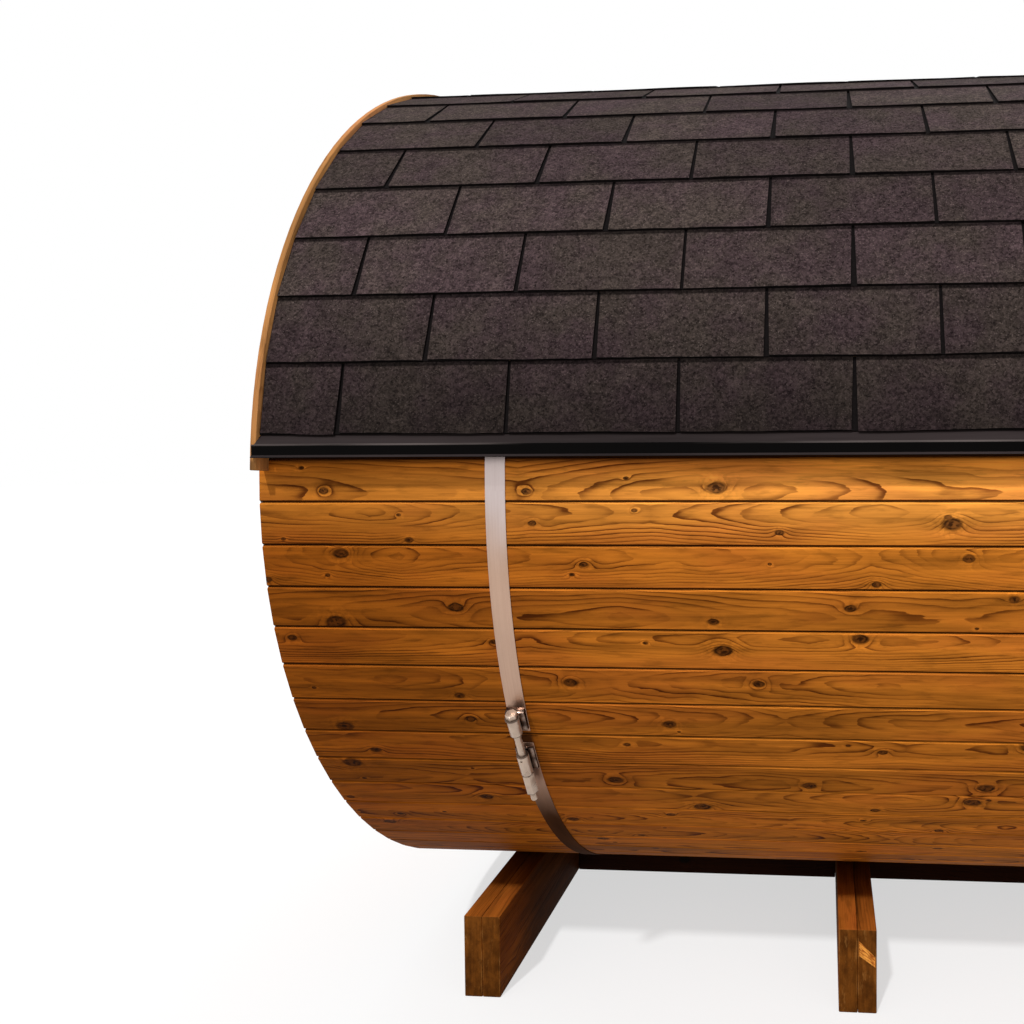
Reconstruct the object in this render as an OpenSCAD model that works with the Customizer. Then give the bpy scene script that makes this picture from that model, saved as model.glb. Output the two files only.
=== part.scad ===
/* [Barrel] */
// Outer width of the barrel, from stave face to stave face
barrel_d = 2270; // [2000:10:2500]
// Length of the staves
barrel_l = 3300; // [2800:50:4200]
// Staves round the barrel, an odd number so that one lies at the very bottom
stave_n = 83; // [71:2:95]
// Thickness of a stave
stave_t = 42; // [30:1:50]
// Bevel along the outer edges of a stave
stave_bevel = 4; // [1:0.5:8]
// Height of the barrel's lowest stave above the ground
ground_gap = 113; // [90:1:160]

/* [Roof] */
// Courses of shingles on each side of the ridge
course_n = 12; // [9:1:15]
// Height of the lowest shingle butt above the barrel's axis
eave_h = 110; // [60:5:260]
// Thickness of the boards under the shingles
roof_board_t = 21; // [15:1:30]
// Thickness of one shingle
shingle_t = 5; // [3:0.5:8]
// Width of the ridge cap on each side of the ridge
cap_w = 100; // [60:5:130]
// Thickness of the bent strip along each end of the roof
edge_t = 12; // [8:1:25]
// Height of that strip above the staves
edge_h = 40; // [38:1:60]
// Distance from the ends of the staves to that strip
edge_set_in = 9; // [0:1:60]
// How far the strip runs on below the lowest shingle butt
edge_tail = 68; // [50:1:110]

/* [Drip edge] */
// Thickness of the sheet metal
drip_t = 1.5; // [1:0.1:3]
// Width of the flange under the lowest shingles
drip_flange = 60; // [30:5:100]
// Height of the sloping part between the lowest shingles and the lip
drip_slope_h = 18; // [8:1:20]
// Height of the upright face
drip_face_h = 21; // [15:1:40]
// Size of the turned-out hem along the bottom
drip_hem = 4; // [2:0.5:8]

/* [Hoops] */
// Width of a hoop
hoop_w = 40; // [25:1:60]
// Thickness of a hoop
hoop_t = 1.5; // [1:0.1:3]
// Distance from the end of the staves to the middle of a hoop
hoop_inset = 480; // [350:5:700]
// Angle of the tensioner below the barrel's axis, in degrees
tensioner_angle = 29.5; // [15:0.5:50]
// Length of the tension bolt with its head
bolt_l = 263; // [240:1:320]
// Diameter of the tension bolt
bolt_d = 15; // [10:0.5:18]
// Height of the bolt's axis above the hoop
bolt_h = 19; // [18:1:40]
// Outer diameter of the sleeves on the bolt
sleeve_d = 25; // [22:0.5:30]
// Length of the sleeve under the bolt's head
head_sleeve_l = 44; // [30:1:60]
// Length of the sleeve at the nut
nut_sleeve_l = 57; // [40:1:65]
// Length of the coupling nut
nut_l = 58; // [40:1:65]
// Thickness of the bolt's head
head_h = 12; // [8:1:16]
// Length of the bolt's tip below the coupling nut
tip_l = 27; // [10:1:40]
// Thickness of the washer under the head
washer_t = 3; // [2:0.5:4]
// Thickness of the plate that a lug is bent from
lug_t = 3; // [2:0.5:4]
// Diameter of the locking hole in the sleeve at the nut
lock_hole_d = 5; // [3:0.5:6]
// Length of a hoop's free end beyond its lug
hoop_end_l = 6; // [2:1:8]

/* [Feet] */
// Number of feet, an even number
foot_n = 4; // [4:2:6]
// Distance from the end of the staves to the middle of the outermost foot
foot_inset = 282; // [150:2:400]
// Thickness of one of the two boards of a foot
foot_board_t = 45; // [35:1:60]
// Height of a foot
foot_h = 200; // [170:5:260]
// Length of a foot across the barrel
foot_l = 1550; // [1300:10:1800]
// Thickness of the tie boards between the feet
tie_t = 45; // [30:1:60]
// Height of the tie boards
tie_h = 95; // [60:1:110]
// Distance between the two rows of tie boards, from middle to middle
tie_spread = 240; // [160:10:400]

/* [End walls] */
// Distance from the ends of the staves to the outer face of an end wall
end_recess = 80; // [70:5:200]
// Thickness of an end wall
end_wall_t = 42; // [30:1:50]
// Upright boards across an end wall, an even number
end_board_n = 18; // [14:2:24]
// Bevel along the outer edges of an end board
end_bevel = 3; // [1:0.5:6]

/* [Door] */
// Width of the doorway, counted in end boards, an even number
doorway_boards = 6; // [6:2:8]
// Height of the doorway, which has its middle on the barrel's axis
doorway_h = 1750; // [1600:10:1900]
// Width of the door frame's bars
frame_w = 60; // [40:1:80]
// Thickness of the door leaf
leaf_t = 40; // [30:1:42]
// Boards across the door leaf
leaf_board_n = 5; // [4:1:8]
// Gap between the door leaf and its frame
leaf_gap = 4; // [2:0.5:6]
// Width of the ledges across the inner face of the leaf
ledge_w = 110; // [80:5:150]
// Thickness of the ledges
ledge_t = 25; // [18:1:35]
// Length of the grip bar
grip_l = 420; // [250:10:600]
// Diameter of the grip bar
grip_d = 32; // [25:1:40]
// Distance from the leaf to the middle of the grip bar
grip_reach = 48; // [40:1:60]
// Diameter of the posts that carry the grip bar
grip_post_d = 18; // [12:1:22]
// Distance from an end of the grip bar to the middle of a post
grip_post_inset = 63; // [20:1:90]
// Distance from the edge of the leaf to the middle of the grip bar
grip_inset = 72; // [40:1:120]
// Height of a hinge
hinge_h = 100; // [70:5:140]
// Width of one leaf of a hinge
hinge_leaf_w = 42; // [30:1:50]
// Thickness of the hinge plates
hinge_t = 3; // [2:0.5:4]
// Diameter of a hinge's knuckle
knuckle_d = 12; // [8:1:16]
// Distance from the ends of the leaf to the middle of a hinge and of a ledge
hinge_inset = 180; // [120:5:300]

/* [Hidden] */
$fn = 96;

// Sides and ends
NEAR = -1;
FAR = 1;
LEFT = -1;
RIGHT = 1;

// Clearances
joint_gap = 0.4;
seat_gap = 0.2;

// Colours
wood_c = [0.60, 0.36, 0.13];
edge_c = [0.78, 0.60, 0.42];
board_c = [0.66, 0.50, 0.30];
shingle_c = [0.24, 0.21, 0.22];
drip_c = [0.06, 0.06, 0.06];
steel_c = [0.78, 0.74, 0.72];
foot_c = [0.28, 0.15, 0.07];
hinge_c = [0.15, 0.15, 0.15];

// Barrel
barrel_r = barrel_d / 2;
inner_r = barrel_r - stave_t;
axis_z = ground_gap + barrel_r;
half_l = barrel_l / 2;
stave_pitch = 360 / stave_n;
stave_face_w = 2 * (barrel_r * tan(stave_pitch / 2) - joint_gap / 2 - stave_bevel);
// Radius of the circle round the corners of the stave faces
corner_r = norm([barrel_r, stave_face_w / 2]);
side_staves = (stave_n - 1) / 2;
bottom_reach = floor(side_staves / 13);
side_runs = 5;

// Hoops
hoop_in_r = corner_r + seat_gap;
hoop_out_r = hoop_in_r + hoop_t;
hoop_x = half_l - hoop_inset;

// Roof
board_in_r = hoop_out_r + seat_gap;
board_out_r = board_in_r + roof_board_t;
course_in_r = board_out_r + seat_gap;
eave_angle = asin(eave_h / (course_in_r + 2 * shingle_t));
course_angle = (90 - eave_angle) / course_n;
edge_in_r = corner_r + seat_gap;
edge_out_r = barrel_r + edge_h;
edge_out_x = half_l - edge_set_in;
edge_in_x = edge_out_x - edge_t;
edge_mid_x = (edge_out_x + edge_in_x) / 2;
roof_l = 2 * (edge_in_x - seat_gap);
tail_angle = asin((eave_h - edge_tail) / edge_out_r);

// Drip edge, as points in the plane across the barrel: distance from the middle, height over the axis
eave_turn = eave_angle + course_angle / 2;
course_half_w = board_out_r * tan(course_angle / 2) - joint_gap / 2;
function on_first_course(along, out) =
    [out * cos(eave_turn) - along * sin(eave_turn), out * sin(eave_turn) + along * cos(eave_turn)];
flange_out_r = board_out_r + seat_gap + drip_t;
flange_top = on_first_course(drip_flange - course_half_w, flange_out_r);
flange_low = on_first_course(-course_half_w, flange_out_r);
lip_out = edge_out_r + seat_gap + drip_t;
lip = [lip_out, flange_low[1] - drip_slope_h];
face_low = [lip_out, lip[1] - drip_face_h];
hem_tip = [lip_out + drip_hem, face_low[1] - drip_hem];

// Tensioner, along the bolt from its middle, upwards positive
head_top = bolt_l / 2;
washer_top = head_top - head_h;
head_sleeve_top = washer_top - washer_t;
head_sleeve_low = head_sleeve_top - head_sleeve_l;
nut_low = -bolt_l / 2 + tip_l;
nut_top = nut_low + nut_l;
nut_sleeve_top = nut_top + nut_sleeve_l;
bolt_axis_r = hoop_out_r + bolt_h;
lug_top_r = bolt_axis_r - sleeve_d / 2 - seat_gap;
lug_spread = 8;
hoop_gap_low = nut_sleeve_top + lug_spread + hoop_end_l;
hoop_gap_top = head_sleeve_low - lug_spread - hoop_end_l;

// Feet
foot_pitch = (barrel_l - 2 * foot_inset) / (foot_n - 1);
cradle_r = corner_r + seat_gap;
function foot_x(i) = -half_l + foot_inset + i * foot_pitch;

// End walls and door
wall_r = inner_r - seat_gap;
end_board_w = 2 * wall_r / end_board_n;
wall_out_x = half_l - end_recess;
wall_in_x = wall_out_x - end_wall_t;
side_boards = (end_board_n - doorway_boards) / 2;
doorway_w = doorway_boards * end_board_w;
doorway_low = axis_z - doorway_h / 2;
doorway_top = axis_z + doorway_h / 2;
frame_out_w = doorway_w - 2 * joint_gap;
frame_low = doorway_low + joint_gap;
frame_top = doorway_top - joint_gap;
leaf_w = frame_out_w - 2 * frame_w - 2 * leaf_gap;
leaf_low = frame_low + frame_w + leaf_gap;
leaf_top = frame_top - frame_w - leaf_gap;
leaf_board_w = leaf_w / leaf_board_n;
leaf_in_x = wall_out_x - leaf_t;
grip_y = grip_inset - leaf_w / 2;
grip_z = (leaf_low + leaf_top) / 2;
post_spread = grip_l - 2 * grip_post_inset;
hinge_y = leaf_w / 2 + leaf_gap / 2;

// Everything that is measured from the barrel's axis
module on_axis() translate([0, 0, axis_z]) children();

// A flat outline in the plane across the barrel, drawn out along it
module along_barrel(length) rotate([90, 0, 90]) linear_extrude(length, center = true) children();

// A cylinder along the barrel
module lying_cylinder(r, length) rotate([0, 90, 0]) cylinder(r = r, h = length, center = true);

// A sheet of even thickness that follows a line of points, with mitred bends
function unit(v) = v / norm(v);
function left_of(v) = [-v[1], v[0]];
function bend_offset(before, at, after, t) =
    let (n0 = left_of(unit(at - before)), n1 = left_of(unit(after - at)))
    t * (n0 + n1) / (1 + n0 * n1);
function sheet(line, t) = let (last = len(line) - 1) concat(line, [
    for (i = [last : -1 : 0])
        i == 0 ? line[0] + t * left_of(unit(line[1] - line[0]))
        : i == last ? line[last] + t * left_of(unit(line[last] - line[last - 1]))
        : line[i] + bend_offset(line[i - 1], line[i], line[i + 1], t)
]);

// One stave at the bottom of the barrel, bevelled along its outer edges
module stave() {
    function half_w(r) = r * tan(stave_pitch / 2) - joint_gap / 2;
    shoulder_r = barrel_r - stave_bevel;
    along_barrel(barrel_l) polygon([
        [-half_w(inner_r), -inner_r],
        [-half_w(shoulder_r), -shoulder_r],
        [-stave_face_w / 2, -barrel_r],
        [stave_face_w / 2, -barrel_r],
        [half_w(shoulder_r), -shoulder_r],
        [half_w(inner_r), -inner_r]
    ]);
}

module staves(side, first, last) {
    color(wood_c) on_axis() for (k = [first : last]) rotate([side * k * stave_pitch, 0, 0]) stave();
}

function run_end(i) = bottom_reach + round((side_staves - bottom_reach) * i / side_runs);

module side_stave_run(side, i) staves(side, run_end(i) + 1, run_end(i + 1));

// Places a piece that is drawn at the ridge on a course of the roof, counted from the eave
module at_course(side, k) {
    turn = eave_angle + (k + 0.5) * course_angle;
    on_axis() rotate([-side * (90 - turn), 0, 0]) children();
}

// Half the width of a course at a height over the axis
function course_half(r) = r * tan(course_angle / 2) - joint_gap / 2;

module roof_boards(side) {
    color(board_c) for (k = [0 : course_n - 1]) at_course(side, k) along_barrel(roof_l) polygon([
        [-course_half(board_in_r), board_in_r],
        [-course_half(board_out_r), board_out_r],
        [course_half(board_out_r), board_out_r],
        [course_half(board_in_r), board_in_r]
    ]);
}

// Outline of a course: thick at its butt, which lies on the course below, and thin under the next butt.
// The lowest one leaves room for the flange of the drip edge.
module course_outline(side, lowest) {
    butt_r = course_in_r + 2 * shingle_t;
    head_r = course_in_r + shingle_t;
    rebate_r = flange_out_r + seat_gap;
    rebate_w = drip_flange + seat_gap - course_half(course_in_r);
    butt_line = [[course_half(head_r), head_r], [-course_half(butt_r), butt_r]];
    seat_line = lowest
        ? [[-course_half(rebate_r), rebate_r], [rebate_w, rebate_r], [rebate_w, course_in_r]]
        : [[-course_half(course_in_r), course_in_r]];
    points = concat(butt_line, seat_line, [[course_half(course_in_r), course_in_r]]);
    polygon([for (p = points) [-side * p[0], p[1]]]);
}

module shingles(side) {
    color(shingle_c) for (k = [0 : course_n - 1])
        at_course(side, k) along_barrel(roof_l) course_outline(side, k == 0);
}

// The cap lies on the outer faces of the two topmost courses
module ridge_cap() {
    butt_r = course_in_r + 2 * shingle_t;
    head_r = course_in_r + shingle_t;
    fall = (butt_r - head_r) / (course_half(butt_r) + course_half(head_r));
    function seat(along) = head_r + seat_gap + (course_half(head_r) - along) * fall;
    low = course_half(head_r) - cap_w;
    lift = seat_gap + shingle_t;
    color(shingle_c) for (side = [NEAR, FAR])
        at_course(side, course_n - 1) along_barrel(roof_l) polygon([
            for (p = [
                [low, seat(low)],
                [low, seat(low) + shingle_t],
                [course_half(head_r + lift), seat(course_half(head_r + lift)) + shingle_t],
                [course_half(head_r), seat(course_half(head_r))]
            ]) [-side * p[0], p[1]]
        ]);
}

// Bent strip along one end of the roof, in two pieces that meet at the ridge
module roof_edge(end) {
    sweep = 90 - tail_angle - joint_gap / edge_out_r * 90;
    color(edge_c) on_axis() for (side = [NEAR, FAR]) mirror([0, side == NEAR ? 1 : 0, 0])
        translate([end * edge_mid_x, 0, 0]) rotate([0, 0, 90]) rotate([90, 0, 0]) rotate([0, 0, tail_angle])
        rotate_extrude(angle = sweep)
        translate([edge_in_r, -edge_t / 2]) square([edge_out_r - edge_in_r, edge_t]);
}

// Folded sheet along the eave: its flange lies under the lowest shingles,
// and its upright face hangs before the end of the roof boards and runs on over half of each bent strip
module drip_edge(side) {
    mirror_side = side == NEAR ? 1 : 0;
    color(drip_c) on_axis() mirror([0, mirror_side, 0]) {
        along_barrel(roof_l) polygon(sheet([hem_tip, face_low, lip, flange_low, flange_top], drip_t));
        along_barrel(2 * edge_mid_x) polygon(sheet([hem_tip, face_low, lip], drip_t));
    }
}

// Places a piece on the tensioner: X along the barrel, Y along the bolt, Z away from the barrel's axis
module at_tensioner(end) {
    on_axis() translate([end * hoop_x, 0, 0]) rotate([90 + tensioner_angle, 0, 0]) children();
}

// Band round the staves, open between the lugs, where the bolt pulls its ends together
module hoop(end) {
    color(steel_c) difference() {
        on_axis() translate([end * hoop_x, 0, 0]) lying_cylinder(hoop_out_r, hoop_w);
        on_axis() translate([end * hoop_x, 0, 0]) lying_cylinder(hoop_in_r, hoop_w + 1);
        at_tensioner(end) translate([-hoop_w, hoop_gap_low, barrel_r / 2])
            cube([2 * hoop_w, hoop_gap_top - hoop_gap_low, barrel_r]);
    }
}

// Places a round piece on the bolt, from a lower end at low
module on_bolt(low) translate([0, low, bolt_axis_r]) rotate([-90, 0, 0]) children();

// Bent plate under a sleeve, with two legs that stand on the hoop
module lug(low, top) {
    root_r = barrel_r - stave_t / 2;
    bend_r = lug_top_r - lug_t;
    inner_line = [[top + lug_spread, root_r], [top, bend_r], [low, bend_r], [low - lug_spread, root_r]];
    difference() {
        along_barrel(hoop_w) polygon(sheet(inner_line, -lug_t));
        lying_cylinder(hoop_out_r + seat_gap, hoop_w + 1);
    }
}

module hoop_lugs(end) {
    color(steel_c) at_tensioner(end) {
        lug(head_sleeve_low, head_sleeve_top);
        lug(nut_top, nut_sleeve_top);
    }
}

module tube(length, outer_d, sides) {
    difference() {
        cylinder(d = outer_d, h = length, $fn = sides);
        translate([0, 0, -1]) cylinder(d = bolt_d + 2 * seat_gap, h = length + 2);
    }
}

module hoop_sleeves(end) {
    color(steel_c) at_tensioner(end) {
        on_bolt(head_sleeve_low) tube(head_sleeve_l, sleeve_d, $fn);
        difference() {
            on_bolt(nut_top + seat_gap) tube(nut_sleeve_l - seat_gap, sleeve_d, $fn);
            translate([0, nut_sleeve_top - 2 * lock_hole_d, bolt_axis_r])
                cylinder(d = lock_hole_d, h = sleeve_d);
        }
        on_bolt(nut_low) tube(nut_l, sleeve_d + 2, 6);
    }
}

// Threaded bolt with a six-sided head and a washer
module hoop_bolt(end) {
    color(steel_c) at_tensioner(end) {
        on_bolt(-bolt_l / 2) cylinder(d = bolt_d, h = bolt_l - head_h);
        on_bolt(head_sleeve_top + seat_gap) cylinder(d = sleeve_d + 5, h = washer_t);
        on_bolt(washer_top) cylinder(d = sleeve_d, h = head_h, $fn = 6);
    }
}

// Two boards on edge, cut out to the round of the barrel
module foot(i) {
    color(foot_c) difference() {
        for (s = [LEFT, RIGHT]) translate([foot_x(i) + s * foot_board_t / 2, 0, foot_h / 2])
            cube([foot_board_t - joint_gap, foot_l, foot_h], center = true);
        on_axis() translate([foot_x(i), 0, 0]) lying_cylinder(cradle_r, 3 * foot_board_t);
    }
}

module tie_boards(side) {
    tie_l = foot_pitch - 2 * foot_board_t - joint_gap;
    color(foot_c) for (i = [0 : foot_n - 2])
        translate([foot_x(i) + foot_pitch / 2, side * tie_spread / 2, tie_h / 2])
        cube([tie_l, tie_t, tie_h], center = true);
}

// Outline of an upright board seen from above: its outer face looks along X, at the origin
module board_outline(width, thickness) {
    half = width / 2 - joint_gap / 2;
    polygon([
        [-thickness, -half],
        [-end_bevel, -half],
        [0, end_bevel - half],
        [0, half - end_bevel],
        [-end_bevel, half],
        [-thickness, half]
    ]);
}

// Upright boards of an end wall, counted from the near side, cut to the round of the barrel
module end_boards(end, first, last, low, top) {
    color(wood_c) intersection() {
        mirror([end == LEFT ? 1 : 0, 0, 0]) for (i = [first : last])
            translate([wall_out_x, -wall_r + (i + 0.5) * end_board_w, low])
            linear_extrude(top - low) board_outline(end_board_w, end_wall_t);
        on_axis() translate([end * wall_out_x, 0, 0]) lying_cylinder(wall_r, 3 * end_wall_t);
    }
}

module full_end_boards(end, first, last) end_boards(end, first, last, axis_z - barrel_r, axis_z + barrel_r);

// Two jambs with a head and a sill between them
module door_frame() {
    jamb_y = (frame_out_w - frame_w) / 2;
    bar_w = frame_out_w - 2 * frame_w - 2 * joint_gap;
    color(wood_c) {
        for (s = [NEAR, FAR]) translate([wall_in_x, s * jamb_y - frame_w / 2, frame_low])
            cube([end_wall_t, frame_w, frame_top - frame_low]);
        for (z = [frame_low, frame_top - frame_w]) translate([wall_in_x, -bar_w / 2, z])
            cube([end_wall_t, bar_w, frame_w]);
    }
}

module door_leaf() {
    color(wood_c) for (i = [0 : leaf_board_n - 1])
        translate([wall_out_x, -leaf_w / 2 + (i + 0.5) * leaf_board_w, leaf_low])
        linear_extrude(leaf_top - leaf_low) board_outline(leaf_board_w, leaf_t);
}

module door_ledges() {
    ledge_l = leaf_w - 2 * leaf_gap;
    color(wood_c) for (z = [leaf_low + hinge_inset, leaf_top - hinge_inset])
        translate([leaf_in_x - seat_gap - ledge_t, -ledge_l / 2, z - ledge_w / 2])
        cube([ledge_t, ledge_l, ledge_w]);
}

// Two flat hinges across the gap between leaf and frame, each with its knuckle
module door_hinges() {
    face_x = wall_out_x + seat_gap;
    color(hinge_c) for (z = [leaf_low + hinge_inset, leaf_top - hinge_inset]) {
        translate([face_x, hinge_y - hinge_leaf_w, z - hinge_h / 2])
            cube([hinge_t, 2 * hinge_leaf_w, hinge_h]);
        translate([face_x + knuckle_d / 2, hinge_y, z - hinge_h / 2])
            cylinder(d = knuckle_d, h = hinge_h);
    }
}

// Upright round grip bar on two posts
module door_grip() {
    color(edge_c) {
        translate([wall_out_x + grip_reach, grip_y, grip_z - grip_l / 2]) cylinder(d = grip_d, h = grip_l);
        for (z = [grip_z - post_spread / 2, grip_z + post_spread / 2])
            translate([wall_out_x + seat_gap, grip_y, z]) rotate([0, 90, 0])
            cylinder(d = grip_post_d, h = grip_reach - seat_gap);
    }
}

staves(FAR, -bottom_reach, bottom_reach);  // bottom_staves
side_stave_run(NEAR, 0);  // near_lower_staves
side_stave_run(NEAR, 1);  // near_side_staves
side_stave_run(NEAR, 2);  // near_middle_staves
side_stave_run(NEAR, 3);  // near_upper_staves
side_stave_run(NEAR, 4);  // near_crown_staves
side_stave_run(FAR, 0);  // far_lower_staves
side_stave_run(FAR, 1);  // far_side_staves
side_stave_run(FAR, 2);  // far_middle_staves
side_stave_run(FAR, 3);  // far_upper_staves
side_stave_run(FAR, 4);  // far_crown_staves
roof_boards(NEAR);  // near_roof_boards
roof_boards(FAR);  // far_roof_boards
shingles(NEAR);  // near_shingles
shingles(FAR);  // far_shingles
ridge_cap();
roof_edge(LEFT);  // left_roof_edge
roof_edge(RIGHT);  // right_roof_edge
drip_edge(NEAR);  // near_drip_edge
drip_edge(FAR);  // far_drip_edge
hoop(LEFT);  // left_hoop
hoop(RIGHT);  // right_hoop
hoop_lugs(LEFT);  // left_hoop_lugs
hoop_lugs(RIGHT);  // right_hoop_lugs
hoop_sleeves(LEFT);  // left_hoop_sleeves
hoop_sleeves(RIGHT);  // right_hoop_sleeves
hoop_bolt(LEFT);  // left_hoop_bolt
hoop_bolt(RIGHT);  // right_hoop_bolt
foot(0);  // left_end_foot
for (i = [1 : foot_n / 2 - 1]) foot(i);  // left_inner_foot
for (i = [foot_n / 2 : foot_n - 2]) foot(i);  // right_inner_foot
foot(foot_n - 1);  // right_end_foot
tie_boards(NEAR);  // near_tie_boards
tie_boards(FAR);  // far_tie_boards
full_end_boards(LEFT, 0, end_board_n - 1);  // left_end_wall
full_end_boards(RIGHT, 0, side_boards - 1);  // right_wall_near_boards
full_end_boards(RIGHT, end_board_n - side_boards, end_board_n - 1);  // right_wall_far_boards
end_boards(RIGHT, side_boards, end_board_n - side_boards - 1, doorway_top, axis_z + barrel_r);  // right_wall_top_boards
end_boards(RIGHT, side_boards, end_board_n - side_boards - 1, axis_z - barrel_r, doorway_low);  // right_wall_sill_boards
door_frame();
door_leaf();
door_ledges();
door_hinges();
door_grip();
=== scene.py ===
"""Looks of a barrel sauna: pine staves, shingled roof, steel hoops with bolt tensioners, dark feet."""

import math
import random
from typing import NamedTuple

import bmesh
import bpy
from mathutils import Matrix, Vector


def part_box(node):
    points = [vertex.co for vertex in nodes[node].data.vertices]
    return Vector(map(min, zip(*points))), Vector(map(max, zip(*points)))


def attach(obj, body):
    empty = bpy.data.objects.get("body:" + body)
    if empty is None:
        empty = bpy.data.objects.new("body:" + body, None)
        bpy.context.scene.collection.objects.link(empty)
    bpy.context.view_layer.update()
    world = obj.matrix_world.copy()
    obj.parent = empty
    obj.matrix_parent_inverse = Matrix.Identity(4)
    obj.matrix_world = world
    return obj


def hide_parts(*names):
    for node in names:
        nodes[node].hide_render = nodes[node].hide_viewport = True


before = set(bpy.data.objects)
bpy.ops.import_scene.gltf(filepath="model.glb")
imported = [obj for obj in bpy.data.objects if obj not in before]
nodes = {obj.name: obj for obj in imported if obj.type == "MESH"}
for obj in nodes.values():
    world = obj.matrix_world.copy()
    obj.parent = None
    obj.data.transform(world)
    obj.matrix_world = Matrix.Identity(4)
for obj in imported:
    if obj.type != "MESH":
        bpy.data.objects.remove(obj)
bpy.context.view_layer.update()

# Axes, as places in a point
X, Y, Z = range(3)

# Sizes in metres, as in the part's source
SEAT_GAP = 0.0002
AXIS_Z = 1.248
BARREL_R = 1.135
STAVE_COUNT = 83
STAVE_TURN = 2 * math.pi / STAVE_COUNT
STAVE_W = 0.0775
HOOP_X = 1.170
HOOP_OUT_R = 1.13736
WALL_R = 1.0928
WALL_OUT_X = 1.570
END_BOARD_W = 2 * WALL_R / 18
LEAF_W = 0.5997
LEAF_BOARD_W = LEAF_W / 5
LEAF_GAP = 0.004
FOOT_BOARD_T = 0.045
FOOT_H = 0.200
FOOT_PITCH = 0.912
STRIP_MID_R = 1.155
STRIP_W = 0.040

# Tensioner, as in the part's source: places along the bolt from its middle, upwards positive
TENSIONER_ANGLE = math.radians(29.5)
BOLT_AXIS_R = HOOP_OUT_R + 0.019
BOLT_R = 0.0075
BOLT_L = 0.263
TIP_L = 0.027
NUT_L = 0.058
NUT_SLEEVE_L = 0.057
HEAD_SLEEVE_L = 0.044
WASHER_T = 0.003
WASHER_R = 0.015
HEAD_H = 0.012
HEAD_R = 0.0125
HEAD_TOP = BOLT_L / 2
WASHER_TOP = HEAD_TOP - HEAD_H
HEAD_SLEEVE_TOP = WASHER_TOP - WASHER_T
HEAD_SLEEVE_LOW = HEAD_SLEEVE_TOP - HEAD_SLEEVE_L
WASHER_LOW = HEAD_SLEEVE_TOP + SEAT_GAP
BOLT_TIP = -BOLT_L / 2
NUT_LOW = BOLT_TIP + TIP_L
NUT_TOP = NUT_LOW + NUT_L
NUT_SLEEVE_TOP = NUT_TOP + NUT_SLEEVE_L
BOLT_JOINTS = (WASHER_TOP, WASHER_LOW, HEAD_SLEEVE_LOW, NUT_SLEEVE_TOP, NUT_TOP, NUT_LOW)

# Door hinges, as in the part's source
HINGE_FACE_X = WALL_OUT_X + SEAT_GAP
HINGE_Y = LEAF_W / 2 + LEAF_GAP / 2
HINGE_RISE = 0.6306
HINGE_H = 0.100
HINGE_LEAF_W = 0.042
HINGE_T = 0.003
KNUCKLE_R = 0.006

# Roof, as in the part's source
ROOF_L = 3.2576
BOARD_OUT_R = 1.15856
COURSE_IN_R = BOARD_OUT_R + SEAT_GAP
SHINGLE_T = 0.005
COURSE_COUNT = 12
EAVE_H = 0.110
EAVE_Z = AXIS_Z + EAVE_H
EAVE_ANGLE = math.asin(EAVE_H / (COURSE_IN_R + 2 * SHINGLE_T))
COURSE_ANGLE = (math.pi / 2 - EAVE_ANGLE) / COURSE_COUNT
CAP_W = 0.100
DRIP_T = 0.0015
DRIP_FOLD_Z = 1.3386
DRIP_LOW_Z = DRIP_FOLD_Z - 0.023
FLANGE_W = 0.060
FLANGE_ROOM_R = BOARD_OUT_R + DRIP_T + 2 * SEAT_GAP


def paint(red, green, blue):
    """Linear colour of a tone that is given as it shows on a screen, 0 to 255."""

    def linear(tone):
        share = tone / 255
        return share / 12.92 if share <= 0.04045 else ((share + 0.055) / 1.055) ** 2.4

    return (linear(red), linear(green), linear(blue), 1.0)


class Field:
    """A number or vector that changes over a surface. Arithmetic on it adds math nodes to its graph."""

    def __init__(self, graph, socket):
        self.graph = graph
        self.socket = socket

    def __add__(self, other):
        return self.graph.math("ADD", self, other)

    def __sub__(self, other):
        return self.graph.math("SUBTRACT", self, other)

    def __rsub__(self, other):
        return self.graph.math("SUBTRACT", other, self)

    def __mul__(self, other):
        return self.graph.math("MULTIPLY", self, other)

    def __truediv__(self, other):
        return self.graph.math("DIVIDE", self, other)

    def __abs__(self):
        return self.graph.math("ABSOLUTE", self)

    __radd__ = __add__
    __rmul__ = __mul__

    def step(self, low, high):
        """Rises smoothly from 0 at low to 1 at high."""
        inputs = {"Value": self, "From Min": low, "From Max": high}
        return self.graph.out("MapRange", "Result", inputs, interpolation_type="SMOOTHSTEP")

    def fall(self, low, high):
        """Falls smoothly from 1 at low to 0 at high."""
        return 1.0 - self.step(low, high)


class Graph:
    """The nodes of a material or of the world."""

    def __init__(self, owner):
        owner.use_nodes = True
        self.tree = owner.node_tree
        self.tree.nodes.clear()

    def feed(self, socket, value):
        if isinstance(value, Field):
            self.tree.links.new(value.socket, socket)
        else:
            socket.default_value = value

    def node(self, kind, inputs, **settings):
        made = self.tree.nodes.new("ShaderNode" + kind)
        for name, value in settings.items():
            setattr(made, name, value)
        for place, value in inputs.items():
            self.feed(made.inputs[place], value)
        return made

    def out(self, kind, output, inputs, **settings):
        """One output of a new node."""
        return Field(self, self.node(kind, inputs, **settings).outputs[output])

    def math(self, operation, *values):
        return self.out("Math", 0, dict(enumerate(values)), operation=operation)


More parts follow.
